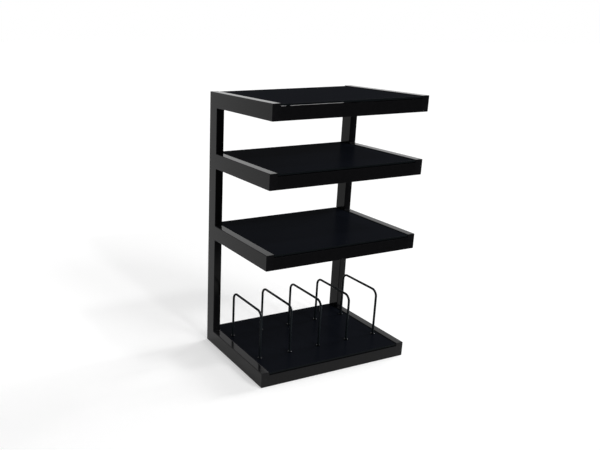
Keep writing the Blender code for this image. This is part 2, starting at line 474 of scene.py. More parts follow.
@dataclass(frozen=True)
class TurnedNickel(Finish):
    """Steel bushes turned on a lathe and plated in black nickel.

    They give the eye small dark grey rings that glint at their rims, with tool marks round the axis.
    """

    name: str = "black_nickel_on_turned_steel"
    colour: str = "#2E2E30"
    tarnish: str = "#242426"
    roughness: tuple[float, float] = (0.16, 0.30)
    # Real tool marks are about 0.1 mm apart, too fine to show, so they are drawn at 0.5 mm.
    mark_mm: float = 0.5
    mark_depth_mm: float = 0.02
    mark_strength: float = 0.4
    stain_mm: float = 6.0
    stain_detail: float = 4.0

    def dress(self, tree: bpy.types.NodeTree, place: bpy.types.NodeSocket) -> dict[str | int, Any]:
        """Add the tool marks and a little tarnish.

        Args:
            tree: The material's node tree.
            place: Object coordinates, in metres.

        Returns:
            The inputs of the material's shader.
        """
        radius = add_node(tree, "ShaderNodeAttribute", attribute_name=RADIUS_ATTRIBUTE)
        turns = add_node(
            tree,
            "ShaderNodeMath",
            {0: radius.outputs["Fac"], 1: math.tau * per_metre(self.mark_mm)},
            operation="MULTIPLY",
        )
        marks = add_node(tree, "ShaderNodeMath", {0: turns.outputs[0]}, operation="SINE")
        bump = add_node(
            tree,
            "ShaderNodeBump",
            {
                "Height": marks.outputs[0],
                "Strength": self.mark_strength,
                "Distance": self.mark_depth_mm * MM,
            },
        )
        stain = add_node(
            tree,
            "ShaderNodeTexNoise",
            {"Vector": place, "Scale": per_metre(self.stain_mm), "Detail": self.stain_detail},
        )
        colour = add_node(
            tree,
            "ShaderNodeMix",
            {
                MIX_SHARE: stain.outputs["Fac"],
                MIX_FIRST: linear(self.colour),
                MIX_SECOND: linear(self.tarnish),
            },
            data_type="RGBA",
        )
        sheen = add_node(
            tree,
            "ShaderNodeMapRange",
            {"Value": stain.outputs["Fac"], "To Min": self.roughness[0], "To Max": self.roughness[1]},
        )
        return {
            "Base Color": colour.outputs[MIX_RESULT],
            "Metallic": 1.0,
            "Roughness": sheen.outputs[0],
            "Normal": bump.outputs[0],
        }


@dataclass(frozen=True)
class MouldedSoft(Finish):
    """Black rubber or plastic moulded in a spark-eroded tool.

    It gives the eye a dull, slightly mottled grey-black with a fine grain.
    """

    name: str = "moulded_black_rubber"
    colour: str = "#101010"
    bloom: str = "#1C1B1A"
    specular: float = 0.3
    roughness: tuple[float, float] = (0.65, 0.85)
    # Real spark grain is about 0.1 mm, too fine to show, so it is drawn at 0.5 mm.
    grain_mm: float = 0.5
    grain_detail: float = 2.0
    grain_depth_mm: float = 0.03
    grain_strength: float = 0.5
    mottle_mm: float = 4.0
    mottle_detail: float = 4.0

    def dress(self, tree: bpy.types.NodeTree, place: bpy.types.NodeSocket) -> dict[str | int, Any]:
        """Add the mould's grain and a grey bloom.

        Args:
            tree: The material's node tree.
            place: Object coordinates, in metres.

        Returns:
            The inputs of the material's shader.
        """
        grain = add_node(
            tree,
            "ShaderNodeTexNoise",
            {"Vector": place, "Scale": per_metre(self.grain_mm), "Detail": self.grain_detail},
        )
        bump = add_node(
            tree,
            "ShaderNodeBump",
            {
                "Height": grain.outputs["Fac"],
                "Strength": self.grain_strength,
                "Distance": self.grain_depth_mm * MM,
            },
        )
        mottle = add_node(
            tree,
            "ShaderNodeTexNoise",
            {"Vector": place, "Scale": per_metre(self.mottle_mm), "Detail": self.mottle_detail},
        )
        colour = add_node(
            tree,
            "ShaderNodeMix",
            {
                MIX_SHARE: mottle.outputs["Fac"],
                MIX_FIRST: linear(self.colour),
                MIX_SECOND: linear(self.bloom),
            },
            data_type="RGBA",
        )
        sheen = add_node(
            tree,
            "ShaderNodeMapRange",
            {"Value": mottle.outputs["Fac"], "To Min": self.roughness[0], "To Max": self.roughness[1]},
        )
        return {
            "Base Color": colour.outputs[MIX_RESULT],
            "Roughness": sheen.outputs[0],
            "Specular IOR Level": self.specular,
            "Normal": bump.outputs[0],
        }


FRAME_COAT = PowderCoat()
# The same coat on thin wire, with less gloss, and a lighter, cooler grey-black that is partly the paint's
# own tone and partly painted sheen on the thin legs.
WIRE_COAT_WITH_PAINTED_SHEEN = PowderCoat(
    name="satin_powder_coat_on_drawn_wire",
    # Partly painted sheen: this lighter grey-black brightens the thin legs in place of gloss.
    colour="#171B1E",
    roughness=(0.20, 0.28),
    specular=0.04,
    peel_mm=1.5,
    cloud_mm=30.0,
)
SHELF_GLASS = BlackGlass()
GLASS_EDGE = GroundGlassEdge()
SOCKET_NICKEL = TurnedNickel()
PAD_RUBBER = MouldedSoft()
GLIDE_PLASTIC = MouldedSoft(
    name="moulded_black_polyethylene", colour="#131313", bloom="#222120", roughness=(0.45, 0.6), grain_mm=0.8
)


def scene_object(name: str, data: bpy.types.ID) -> bpy.types.Object:
    """Put a mesh, a camera or a light in the scene as an object at the origin.

    Args:
        name: The object's name.
        data: The mesh, camera or light.

    Returns:
        The object.
    """
    made = bpy.data.objects.new(name, data)
    bpy.context.scene.collection.objects.link(made)
    return made


def plain_mesh(name: str, body: bmesh.types.BMesh) -> bpy.types.Mesh:
    """Turn a worked mesh into a plain one and free it.

    Args:
        name: The new mesh's name.
        body: The worked mesh.

    Returns:
        The plain mesh.
    """
    mesh = bpy.data.meshes.new(name)
    body.to_mesh(mesh)
    body.free()
    return mesh


def box_outline(low: Vector, high: Vector) -> list[tuple[float, float]]:
    """Give the corners of a box's section as (y, z)."""
    return [(low.y, low.z), (high.y, low.z), (high.y, high.z), (low.y, high.z)]


def settled_mesh(source: bpy.types.Object, name: str) -> bpy.types.Mesh:
    """Turn an object with modifiers into a plain mesh and remove the object.

    Args:
        source: The object to evaluate.
        name: The new mesh's name.

    Returns:
        The evaluated mesh.
    """
    depsgraph = bpy.context.evaluated_depsgraph_get()
    evaluated = source.evaluated_get(depsgraph)
    mesh = bpy.data.meshes.new_from_object(evaluated, preserve_all_data_layers=True, depsgraph=depsgraph)
    mesh.name = name
    bpy.data.objects.remove(source, do_unlink=True)
    return mesh


def add_piece(
    name: str, mesh: bpy.types.Mesh, body: str, slot: Slot, nodes: Iterable[str], finishes: Sequence[Finish]
) -> bpy.types.Object:
    """Make a mesh a visible piece of the rack.

    Args:
        name: The piece's name.
        mesh: Its finished mesh, in place.
        body: The body that it moves with.
        slot: The record's material slot that the piece belongs to; it is not used.
        nodes: The solids that it stands for.
        finishes: The finishes of its material slots, in order.

    Returns:
        The piece.
    """
    mesh.materials.clear()
    for finish in finishes:
        mesh.materials.append(finish.material())
    piece = scene_object(name, mesh)
    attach(piece, body)
    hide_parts(*nodes)
    LOG.info("%s: %d faces, moves with %s", name, len(mesh.polygons), body)
    return piece


def mark_edges(mesh: bpy.types.Mesh) -> None:
    """Store on each point how far it lies on a rounded edge, for the thin paint there.

    Args:
        mesh: The mesh that gets the attribute.
    """
    rounded = [0] * len(mesh.vertices)
    total = [0] * len(mesh.vertices)
    for polygon in mesh.polygons:
        bent = max(abs(share) for share in polygon.normal) < FLAT_SHARE
        for index in polygon.vertices:
            total[index] += 1
            rounded[index] += bent
    attribute = mesh.attributes.new(WEAR_ATTRIBUTE, "FLOAT", "POINT")
    attribute.data.foreach_set("value", [share / max(count, 1) for share, count in zip(rounded, total)])


def rounded_prism(
    name: str,
    outline: Sequence[tuple[float, float]],
    ends: tuple[float, float],
    radius_of: Callable[[Vector, Vector], float],
    segments: int = 4,
) -> bpy.types.Object:
    """Extrude a closed outline along X and round its edges.

    Args:
        name: Name of the object and its mesh.
        outline: Corners of the section as (y, z).
        ends: The X of the two ends.
        radius_of: Gives the rounding radius of the edge between two points.
        segments: Facets across a rounded edge.

    Returns:
        An object with its roundings as a modifier.
    """
    body = bmesh.new()
    weight = body.edges.layers.float.new("bevel_weight_edge")
    rings = [[body.verts.new((x, y, z)) for y, z in outline] for x in ends]
    for ring in rings:
        body.faces.new(ring)
    for index in range(len(outline)):
        after = (index + 1) % len(outline)
        body.faces.new((rings[0][index], rings[0][after], rings[1][after], rings[1][index]))
    bmesh.ops.recalc_face_normals(body, faces=body.faces)
    radii = [radius_of(edge.verts[0].co, edge.verts[1].co) for edge in body.edges]
    widest = max(radii)
    for edge, radius in zip(body.edges, radii):
        edge[weight] = radius / widest
    prism = scene_object(name, plain_mesh(name, body))
    rounding = prism.modifiers.new("rounding", "BEVEL")
    rounding.width = widest
    rounding.segments = segments
    rounding.limit_method = "WEIGHT"
    return prism


def finished_prism(prism: bpy.types.Object) -> bpy.types.Mesh:
    """Settle a prism, with flat normals on its flat faces and smooth ones on its rounded edges.

    Args:
        prism: A prism with its modifiers.

    Returns:
        The finished mesh.
    """
    name = prism.name
    mesh = settled_mesh(prism, name)
    mesh.shade_smooth()
    mesh.set_sharp_from_angle(angle=SHARP_ANGLE)
    holder = scene_object(name, mesh)
    normals = holder.modifiers.new("normals", "WEIGHTED_NORMAL")
    normals.keep_sharp = True
    return settled_mesh(holder, name)


def turned_mesh(name: str, profile: Sequence[tuple[float, float]], steps: int) -> bpy.types.Mesh:
    """Turn a profile about Z.

    Args:
        name: The mesh's name.
        profile: Points as (radius, height), from axis to axis.
        steps: Facets round the axis.

    Returns:
        A closed, smooth mesh with each point's radius stored for its tool marks.
    """
    body = bmesh.new()
    points = [body.verts.new((radius, 0.0, height)) for radius, height in profile]
    lines = [body.edges.new(pair) for pair in zip(points, points[1:])]
    bmesh.ops.spin(body, geom=points + lines, axis=(0, 0, 1), cent=(0, 0, 0), angle=math.tau, steps=steps)
    bmesh.ops.remove_doubles(body, verts=body.verts, dist=MERGE_DISTANCE)
    bmesh.ops.recalc_face_normals(body, faces=body.faces)
    mesh = plain_mesh(name, body)
    mesh.shade_smooth()
    mesh.set_sharp_from_angle(angle=SHARP_ANGLE)
    attribute = mesh.attributes.new(RADIUS_ATTRIBUTE, "FLOAT", "POINT")
    attribute.data.foreach_set("value", [vertex.co.xy.length for vertex in mesh.vertices])
    return mesh


def rounded_corner(
    centre: tuple[float, float], radius: float, start: float, stop: float, steps: int = 4
) -> list[tuple[float, float]]:
    """Points along an arc, from one angle to another in quarter turns.

    Args:
        centre: The arc's centre.
        radius: The arc's radius.
        start: First angle, where 1 is a quarter turn.
        stop: Last angle, likewise.
        steps: Straight pieces along the arc.

    Returns:
        The arc's points.
    """
    angles = [(start + (stop - start) * step / steps) * math.pi / 2 for step in range(steps + 1)]
    return [(centre[0] + radius * math.cos(angle), centre[1] + radius * math.sin(angle)) for angle in angles]


class ShapeTree:
    """A Geometry Nodes tree with named inputs, which ends in realised and dressed geometry."""

    def __init__(self, name: str, inputs: dict[str, str]) -> None:
        """Open the tree.

        Args:
            name: The tree's name.
            inputs: The socket type of each named input.
        """
        self.tree = bpy.data.node_groups.new(name, "GeometryNodeTree")
        self.identifiers: dict[str, str] = {}
        kinds = {"Geometry": "NodeSocketGeometry", **inputs, "Finish": "NodeSocketMaterial"}
        for label, kind in kinds.items():
            socket = self.tree.interface.new_socket(name=label, in_out="INPUT", socket_type=kind)
            self.identifiers[label] = socket.identifier
        self.tree.interface.new_socket(name="Geometry", in_out="OUTPUT", socket_type="NodeSocketGeometry")
        self.given = add_node(self.tree, "NodeGroupInput").outputs

    def close(self, geometry: bpy.types.NodeSocket) -> None:
        """End the tree: realise what was placed and set its material.

        Args:
            geometry: What the tree has made so far.
        """
        realised = add_node(self.tree, "GeometryNodeRealizeInstances", {"Geometry": geometry})
        dressed = add_node(
            self.tree,
            "GeometryNodeSetMaterial",
            {"Geometry": realised.outputs[0], "Material": self.given["Finish"]},
        )
        add_node(self.tree, "NodeGroupOutput", {"Geometry": dressed.outputs[0]})

    def grow(self, name: str, start: bpy.types.Mesh, values: dict[str, Any]) -> bpy.types.Mesh:
        """Run the tree on a mesh.

        Args:
            name: Name of the result.
            start: The mesh that the tree starts from.
            values: A value for each named input.

        Returns:
            The result as a plain mesh.
        """
        grown = scene_object(name, start)
        modifier = grown.modifiers.new(name, "NODES")
        modifier.node_group = self.tree
        for label, value in values.items():
            modifier[self.identifiers[label]] = value
        return settled_mesh(grown, name)


class BentWireTree(ShapeTree):
    """Round wire along a polyline, bent to one radius at its corners."""

    def __init__(self) -> None:
        """Build the tree."""
        super().__init__(
            "bent_wire",
            {
                "Bend Radius": "NodeSocketFloat",
                "Bend Steps": "NodeSocketInt",
                "Wire Radius": "NodeSocketFloat",
                "Round Steps": "NodeSocketInt",
            },
        )
        tree = self.tree
        path = add_node(tree, "GeometryNodeMeshToCurve", {"Mesh": self.given["Geometry"]})
        bent = add_node(
            tree,
            "GeometryNodeFilletCurve",
            {
                "Curve": path.outputs[0],
                "Count": self.given["Bend Steps"],
                "Radius": self.given["Bend Radius"],
            },
            mode="POLY",
        )
        section = add_node(
            tree,
            "GeometryNodeCurvePrimitiveCircle",
            {"Resolution": self.given["Round Steps"], "Radius": self.given["Wire Radius"]},
        )
        wire = add_node(
            tree,
            "GeometryNodeCurveToMesh",
            {"Curve": bent.outputs[0], "Profile Curve": section.outputs[0], "Fill Caps": True},
        )
        self.close(wire.outputs[0])


class RepeatTree(ShapeTree):
    """One piece repeated on each point of a mesh."""

    def __init__(self) -> None:
        """Build the tree."""
        super().__init__("repeated_piece", {"Piece": "NodeSocketObject"})
        piece = add_node(
            self.tree, "GeometryNodeObjectInfo", {"Object": self.given["Piece"], "As Instance": True}
        )
        placed = add_node(
            self.tree,
            "GeometryNodeInstanceOnPoints",
            {"Points": self.given["Geometry"], "Instance": piece.outputs["Geometry"]},
        )
        self.close(placed.outputs[0])

    def on_points(
        self, name: str, piece: bpy.types.Mesh, places: Iterable[Vector], finish: Finish
    ) -> bpy.types.Mesh:
        """Repeat a mesh.

        Args:
            name: Name of the result.
            piece: The mesh to repeat, about its own origin.
            places: Where each copy goes.
            finish: The finish of all copies.

        Returns:
            The copies as one plain mesh.
        """
        points = bpy.data.meshes.new(f"{name}_places")
        points.from_pydata([tuple(place) for place in places], [], [])
        pattern = scene_object(f"{name}_pattern", piece)
        mesh = self.grow(name, points, {"Piece": pattern, "Finish": finish.material()})
        bpy.data.objects.remove(pattern, do_unlink=True)
        return mesh


class WeldTree(ShapeTree):
    """A bead of overlapping weld ripples along each edge of a mesh."""

    SEGMENTS = 12
    RINGS = 7
    SMALLEST = (0.88, 0.88, 0.55)
    LARGEST = (1.08, 1.08, 0.75)

    def __init__(self) -> None:
        """Build the tree."""
        super().__init__(
            "weld_bead",
            {"Ripple Spacing": "NodeSocketFloat", "Bead Radius": "NodeSocketFloat", "Seed": "NodeSocketInt"},
        )
        tree = self.tree
        path = add_node(tree, "GeometryNodeMeshToCurve", {"Mesh": self.given["Geometry"]})
        spaced = add_node(
            tree,
            "GeometryNodeResampleCurve",
            {"Curve": path.outputs[0], "Length": self.given["Ripple Spacing"]},
            mode="LENGTH",
        )
        ripple = add_node(
            tree,
            "GeometryNodeMeshUVSphere",
            {"Segments": self.SEGMENTS, "Rings": self.RINGS, "Radius": self.given["Bead Radius"]},
        )
        uneven = add_node(
            tree,
            "FunctionNodeRandomValue",
            {"Min": self.SMALLEST, "Max": self.LARGEST, "Seed": self.given["Seed"]},
            data_type="FLOAT_VECTOR",
        )
        placed = add_node(
            tree,
            "GeometryNodeInstanceOnPoints",
            {"Points": spaced.outputs[0], "Instance": ripple.outputs[0], "Scale": uneven.outputs[0]},
        )
        smooth = add_node(tree, "GeometryNodeSetShadeSmooth", {"Geometry": placed.outputs[0]})
        self.close(smooth.outputs[0])


@dataclass
class WeldedSideFrame:
    """One E-shaped side frame: a post and four arms, welded, ground flush and coated as one."""

    side: Side
    tube_corner: float = 0.0022
    plate_edge: float = 0.0007
    mitre_edge: float = 0.0012
    weld_fillet: float = 0.0025
    fillet_steps: int = 4
    post_box: tuple[Vector, Vector] = field(init=False)
    arm_boxes: dict[Level, tuple[Vector, Vector]] = field(init=False)

    def __post_init__(self) -> None:
        """Read the sizes of the tubes from the frame."""
        self.post_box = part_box(f"{self.side.value}_post")
        self.arm_boxes = {level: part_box(f"{self.side.value}_{level.value}_arm") for level in Level}

    def nodes(self) -> list[str]:
        """Name the solids that the frame stands for."""
        return [f"{self.side.value}_post", *[f"{self.side.value}_{level.value}_arm" for level in Level]]

    def outline(self) -> list[tuple[float, float]]:
        """Walk round the E as (y, z) points, with small fillets where the arms meet the post.

        Returns:
            The outline's points.
        """
        front = self.arm_boxes[Level.BASE][0].y
        back = self.post_box[1].y
        inner = self.post_box[0].y
        bottom = self.post_box[0].z
        crown = self.post_box[1].z
        points = [(front, bottom), (back, bottom), (back, crown), (front, crown)]
        descending = [Level.TOP, Level.UPPER, Level.LOWER, Level.BASE]
        radius = self.weld_fillet
        for above, below in zip(descending, descending[1:]):
            ceiling = self.arm_boxes[above][0].z
            ledge = self.arm_boxes[below][1].z
            points.append((front, ceiling))
            points += rounded_corner((inner - radius, ceiling - radius), radius, 1, 0, self.fillet_steps)
            points += rounded_corner((inner - radius, ledge + radius), radius, 0, -1, self.fillet_steps)
            points.append((front, ledge))
        return points

    def edge_radius(self, start: Vector, stop: Vector) -> float:
        """Give the rounding of an edge: tube corners, ground end plates, mitred corners or none.

        Args:
            start: One end of the edge.
            stop: The other end.

        Returns:
            The rounding radius.
        """
        front = self.arm_boxes[Level.BASE][0].y
        back = self.post_box[1].y
        across = abs(start.x - stop.x) > MERGE_DISTANCE
        at_front = max(start.y, stop.y) < front + MERGE_DISTANCE
        at_back = min(start.y, stop.y) > back - MERGE_DISTANCE
        inside = abs(start.x) < (abs(self.post_box[0].x) + abs(self.post_box[1].x)) / 2
        if across:
            return self.plate_edge if at_front else self.mitre_edge if at_back else 0.0
        if at_front:
            # The inner edge is welded to the rail and ground flush with it.
            return 0.0 if inside else self.plate_edge
        return self.tube_corner

    def build(self) -> bpy.types.Object:
        """Build and dress the frame.

        Returns:
            The frame.
        """
        name = f"{self.side.value}_welded_frame"
        low, high = self.post_box
        mesh = finished_prism(rounded_prism(name, self.outline(), (low.x, high.x), self.edge_radius))
        mark_edges(mesh)
        return add_piece(name, mesh, Body.FRAME.value, Slot.FRAME, self.nodes(), [FRAME_COAT])


@dataclass
class CrossRail:
    """One rail between the side frames, butted on their inner faces."""

    level: Level
    end: End
    corner: float = 0.0008
    weld_gap: float = 0.0003

    def node(self) -> str:
        """Name the solid that the rail stands for."""
        return f"{self.level.value}_{self.end.value}_rail"

    def box(self) -> tuple[Vector, Vector]:
        """Give the rail's corners, grown across the gaps at its ends and under its pads.

        Returns:
            The lowest and highest corners.
        """
        low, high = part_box(self.node())
        reach = Vector((self.weld_gap, 0, 0))
        return low - reach, high + reach + Vector((0, 0, self.weld_gap))

    def weld_lines(self, inset: float) -> list[tuple[Vector, Vector]]:
        """Give the two inner corners where the rail is welded to the arms.

        Args:
            inset: How far the beads stay from the rail's top and bottom edges.

        Returns:
            A start and an end point for each bead.
        """
        low, high = self.box()
        inner = high.y if self.end is End.FRONT else low.y
        bottom, top = low.z + inset, high.z - inset
        return [(Vector((x, inner, bottom)), Vector((x, inner, top))) for x in (low.x, high.x)]

    def build(self) -> bpy.types.Object:
        """Build and dress the rail.

        Returns:
            The rail.
        """
        name = f"{self.node()}_tube"
        low, high = self.box()

        def radius_of(start: Vector, stop: Vector) -> float:
            """Round the long edges only."""
            return self.corner if abs(start.x - stop.x) > MERGE_DISTANCE else 0.0

        mesh = finished_prism(rounded_prism(name, box_outline(low, high), (low.x, high.x), radius_of))
        mark_edges(mesh)
        return add_piece(name, mesh, Body.FRAME.value, Slot.FRAME, [self.node()], [FRAME_COAT])


@dataclass
class WeldBeads:
    """The fillet welds behind the rails, left as laid because the shelves hide them."""

    rails: list[CrossRail]
    bead_radius: float = 0.0021
    ripple_spacing: float = 0.0016
    inset: float = 0.004
    seed: int = 5

    def build(self) -> bpy.types.Object:
        """Build and dress all the beads as one piece.

        Returns:
            The beads.
        """
        name = "rail_weld_beads"
        lines = [line for rail in self.rails for line in rail.weld_lines(self.inset)]
        paths = bpy.data.meshes.new(f"{name}_paths")
        corners = [tuple(point) for line in lines for point in line]
        paths.from_pydata(corners, [(2 * index, 2 * index + 1) for index in range(len(lines))], [])
        values = {
            "Ripple Spacing": self.ripple_spacing,
            "Bead Radius": self.bead_radius,
            "Seed": self.seed,
            "Finish": FRAME_COAT.material(),
        }
        mesh = WeldTree().grow(name, paths, values)
        return add_piece(name, mesh, Body.FRAME.value, Slot.FRAME, [], [FRAME_COAT])


@dataclass
class GlassShelf:
    """One shelf of black glass with ground edges, drilled for sockets where it carries dividers."""

    level: Level
    arris: float = 0.0008
    arris_steps: int = 3
    drill_radius: float = 0.0058
    drill_steps: int = 32
    drill_reach: float = 4.0

    def node(self) -> str:
        """Name the solid that the shelf stands for."""
        return f"{self.level.value}_glass"

    def drill(self, places: Sequence[Vector]) -> bpy.types.Object:
        """Make the cutter for the socket holes.

        Args:
            places: The middle of each hole.

        Returns:
            The cutter.
        """
        low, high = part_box(self.node())
        body = bmesh.new()
        for place in places:
            bmesh.ops.create_cone(
                body,
                cap_ends=True,
                segments=self.drill_steps,
                radius1=self.drill_radius,
                radius2=self.drill_radius,
                depth=self.drill_reach * (high.z - low.z),
                matrix=Matrix.Translation((place.x, place.y, (low.z + high.z) / 2)),
            )
        return scene_object("socket_drill", plain_mesh("socket_drill", body))

    def build(self, holes: Sequence[Vector] = ()) -> bpy.types.Object:
        """Build and dress the shelf.

        Args:
            holes: The middle of each socket hole.

        Returns:
            The shelf.
        """
        name = f"{self.level.value}_glass_shelf"
        low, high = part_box(self.node())
        pane = rounded_prism(
            name, box_outline(low, high), (low.x, high.x), lambda start, stop: self.arris, self.arris_steps
        )
        cutter = self.drill(holes) if holes else None
        if cutter:
            boring = pane.modifiers.new("socket_holes", "BOOLEAN")
            boring.operation = "DIFFERENCE"
            boring.object = cutter
        mesh = finished_prism(pane)
        if cutter:
            bpy.data.objects.remove(cutter, do_unlink=True)
        piece = add_piece(
            name, mesh, f"{self.level.value}_shelf", Slot.SHELVES, [self.node()], [SHELF_GLASS, GLASS_EDGE]
        )
        for polygon in mesh.polygons:
            polygon.material_index = 0 if abs(polygon.normal.z) > FLAT_SHARE else 1
        return piece


@dataclass
class RecordDivider:
    """One bent-wire record divider, an upside-down U that stands in two sockets."""

    number: int
    bend_radius: float = 0.023
    bend_steps: int = 14
    round_steps: int = 20
    end_chamfer: float = 0.0006
    chamfer_steps: int = 2
    chamfer_round: float = 0.5

    def node(self) -> str:
        """Name the solid that the divider stands for."""
        return f"divider_{self.number}"

    def build(self, tree: BentWireTree) -> bpy.types.Object:
        """Build and dress the divider.

        Args:
            tree: The bent-wire tree.

        Returns:
            The divider.
        """
        name = f"record_divider_{self.number}"
        low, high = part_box(self.node())
        radius = (high.x - low.x) / 2
        x = (low.x + high.x) / 2
        path = bpy.data.meshes.new(f"{name}_path")
        front, rear, crown = low.y + radius, high.y - radius, high.z - radius
        corners = [(x, front, low.z), (x, front, crown), (x, rear, crown), (x, rear, low.z)]
        path.from_pydata(corners, [(0, 1), (1, 2), (2, 3)], [])
        values = {
            "Bend Radius": self.bend_radius,
            "Bend Steps": self.bend_steps,
            "Wire Radius": radius,
            "Round Steps": self.round_steps,
            "Finish": WIRE_COAT_WITH_PAINTED_SHEEN.material(),
        }
        mesh = tree.grow(name, path, values)
        self.chamfer_ends(mesh)
        body = f"divider_wire_{self.number}"
        return add_piece(name, mesh, body, Slot.DIVIDERS, [self.node()], [WIRE_COAT_WITH_PAINTED_SHEEN])

    def chamfer_ends(self, mesh: bpy.types.Mesh) -> None:
        """Merge the caps, break their edges and shade the wire smooth.

        Args:
            mesh: The wire's mesh, which is changed in place.
        """
        body = bmesh.new()
        body.from_mesh(mesh)
        bmesh.ops.remove_doubles(body, verts=body.verts, dist=MERGE_DISTANCE)
        bmesh.ops.recalc_face_normals(body, faces=body.faces)
        # Only the two caps have more than four corners.
        rims = [edge for edge in body.edges if any(len(face.verts) > 4 for face in edge.link_faces)]
        bmesh.ops.bevel(
            body,
            geom=rims,
            offset=self.end_chamfer,
            offset_type="OFFSET",
            segments=self.chamfer_steps,
            profile=self.chamfer_round,
            affect="EDGES",
        )
        body.to_mesh(mesh)
        body.free()
        mesh.shade_smooth()
        mesh.set_sharp_from_angle(angle=SHARP_ANGLE)


@dataclass
class DividerSockets:
    """The turned sockets in the base glass that hold the wire ends."""

    count: int = 5
    bore_radius: float = 0.0043
    barrel_radius: float = 0.0055
    floor_thickness: float = 0.0018
    rim: float = 0.0009
    rim_steps: int = 5
    bore_rim: float = 0.0003
    bore_rim_steps: int = 2
    seat_gap: float = 0.00002
    steps: int = 40

    def nodes(self) -> list[str]:
        """Name the solids that the sockets stand for."""
        return [f"divider_{number}_{end.value}_socket" for number in range(1, self.count + 1) for end in End]

    def places(self) -> list[Vector]:
        """Give the middle of each socket, at the height of the glass.

        Returns:
            The places, in the order of the nodes.
        """
        glass_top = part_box("base_glass")[1].z
        middles = [(low + high) / 2 for low, high in map(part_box, self.nodes())]
        return [Vector((middle.x, middle.y, glass_top)) for middle in middles]

    def profile(self) -> list[tuple[float, float]]:
        """Give the turned profile, with its zero height on the glass.

        Returns:
            Points as (radius, height), from axis to axis.
        """
        low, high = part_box(self.nodes()[0])
        glass_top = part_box("base_glass")[1].z
        flange = (high.x - low.x) / 2
        crown = high.z - glass_top
        tail = low.z - glass_top
        floor = tail + self.floor_thickness
        bore_centre = (self.bore_radius + self.bore_rim, crown - self.bore_rim)
        inner = rounded_corner(bore_centre, self.bore_rim, 2, 1, self.bore_rim_steps)
        outer = rounded_corner((flange - self.rim, crown - self.rim), self.rim, 1, 0, self.rim_steps)
        return [
            (0.0, floor),
            (self.bore_radius, floor),
            *inner,
            *outer,
            (flange, self.seat_gap),
            (self.barrel_radius, self.seat_gap),
            (self.barrel_radius, tail),
            (0.0, tail),
        ]

    def build(self, tree: RepeatTree) -> bpy.types.Object:
        """Build and dress the sockets as one piece.

        Args:
            tree: The tree that repeats a piece.

        Returns:
            The sockets.
        """
        name = "divider_sockets"
        socket = turned_mesh("divider_socket", self.profile(), self.steps)
        mesh = tree.on_points(name, socket, self.places(), SOCKET_NICKEL)
        return add_piece(name, mesh, Body.BASE_SHELF.value, Slot.SOCKETS, self.nodes(), [SOCKET_NICKEL])


@dataclass
class ShelfPads:
    """The rubber pads on the rails that the shelves lie on."""

    rim: float = 0.0006
    seat_gap: float = 0.0003
    steps: int = 36

    def nodes(self) -> list[str]:
        """Name the solids that the pads stand for."""
        return [
            f"{side.value}_{level.value}_{end.value}_pad" for level in Level for end in End for side in Side
        ]

    def build(self, tree: RepeatTree) -> bpy.types.Object:
        """Build and dress the pads as one piece.

        Args:
            tree: The tree that repeats a piece.

        Returns:
            The pads.
        """
        name = "shelf_pads"
        boxes = [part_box(node) for node in self.nodes()]
        low, high = boxes[0]
        radius = (high.x - low.x) / 2
        half = (high.z - low.z) / 2 + self.seat_gap
        profile = [
            (0.0, half),
            *rounded_corner((radius - self.rim, half - self.rim), self.rim, 1, 0),
            *rounded_corner((radius - self.rim, self.rim - half), self.rim, 0, -1),
            (0.0, -half),
        ]
        pad = turned_mesh("shelf_pad", profile, self.steps)
        mesh = tree.on_points(name, pad, [(low + high) / 2 for low, high in boxes], PAD_RUBBER)
        return add_piece(name, mesh, Body.FRAME.value, Slot.PADS, self.nodes(), [PAD_RUBBER])


@dataclass
class FloorGlides:
    """The thin discs under the base arms."""

    rim: float = 0.0007
    seat_gap: float = 0.0003
    steps: int = 48

    def nodes(self) -> list[str]:
        """Name the solids that the glides stand for."""
        return [f"{side.value}_{end.value}_glide" for side in Side for end in End]

    def build(self, tree: RepeatTree) -> bpy.types.Object:
        """Build and dress the glides as one piece.

        Args:
            tree: The tree that repeats a piece.

        Returns:
            The glides.
        """
        name = "floor_glides"
        boxes = [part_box(node) for node in self.nodes()]
        low, high = boxes[0]
        radius = (high.x - low.x) / 2
        top = high.z + self.seat_gap
        profile = [
            (0.0, top),
            (radius, top),
            *rounded_corner((radius - self.rim, self.rim), self.rim, 0, -1),
            (0.0, 0.0),
        ]
        glide = turned_mesh("floor_glide", profile, self.steps)
        places = [Vector(((low.x + high.x) / 2, (low.y + high.y) / 2, 0.0)) for low, high in boxes]
        mesh = tree.on_points(name, glide, places, GLIDE_PLASTIC)
        return add_piece(name, mesh, Body.FRAME.value, Slot.GLIDES, self.nodes(), [GLIDE_PLASTIC])


@dataclass(frozen=True)
class PhotoCamera:
    """The camera at the photograph's viewpoint."""

    eye: tuple[float, float, float] = (-1.3146, -1.8726, 1.1224)
    aim: tuple[float, float, float] = (-0.4848, 0.0, 0.4751)
    focal_px: float = 684.83
    axis_px: tuple[float, float] = (179.21, 238.15)
    sensor_mm: float = 36.0
    far_end: float = 200.0

    def place(self) -> None:
        """Make the camera and give it to the scene."""
        data = bpy.data.cameras.new("photo_camera")
        data.sensor_fit = "HORIZONTAL"
        data.sensor_width = self.sensor_mm
        data.lens = self.focal_px / IMAGE_WIDTH * self.sensor_mm
        data.shift_x = 0.5 - self.axis_px[0] / IMAGE_WIDTH
        data.shift_y = (self.axis_px[1] - IMAGE_HEIGHT / 2) / IMAGE_WIDTH
        data.clip_end = self.far_end
        camera = scene_object("photo_camera", data)
        camera.location = self.eye
        camera.rotation_euler = (Vector(self.aim) - Vector(self.eye)).to_track_quat("-Z", "Y").to_euler()
        bpy.context.scene.camera = camera


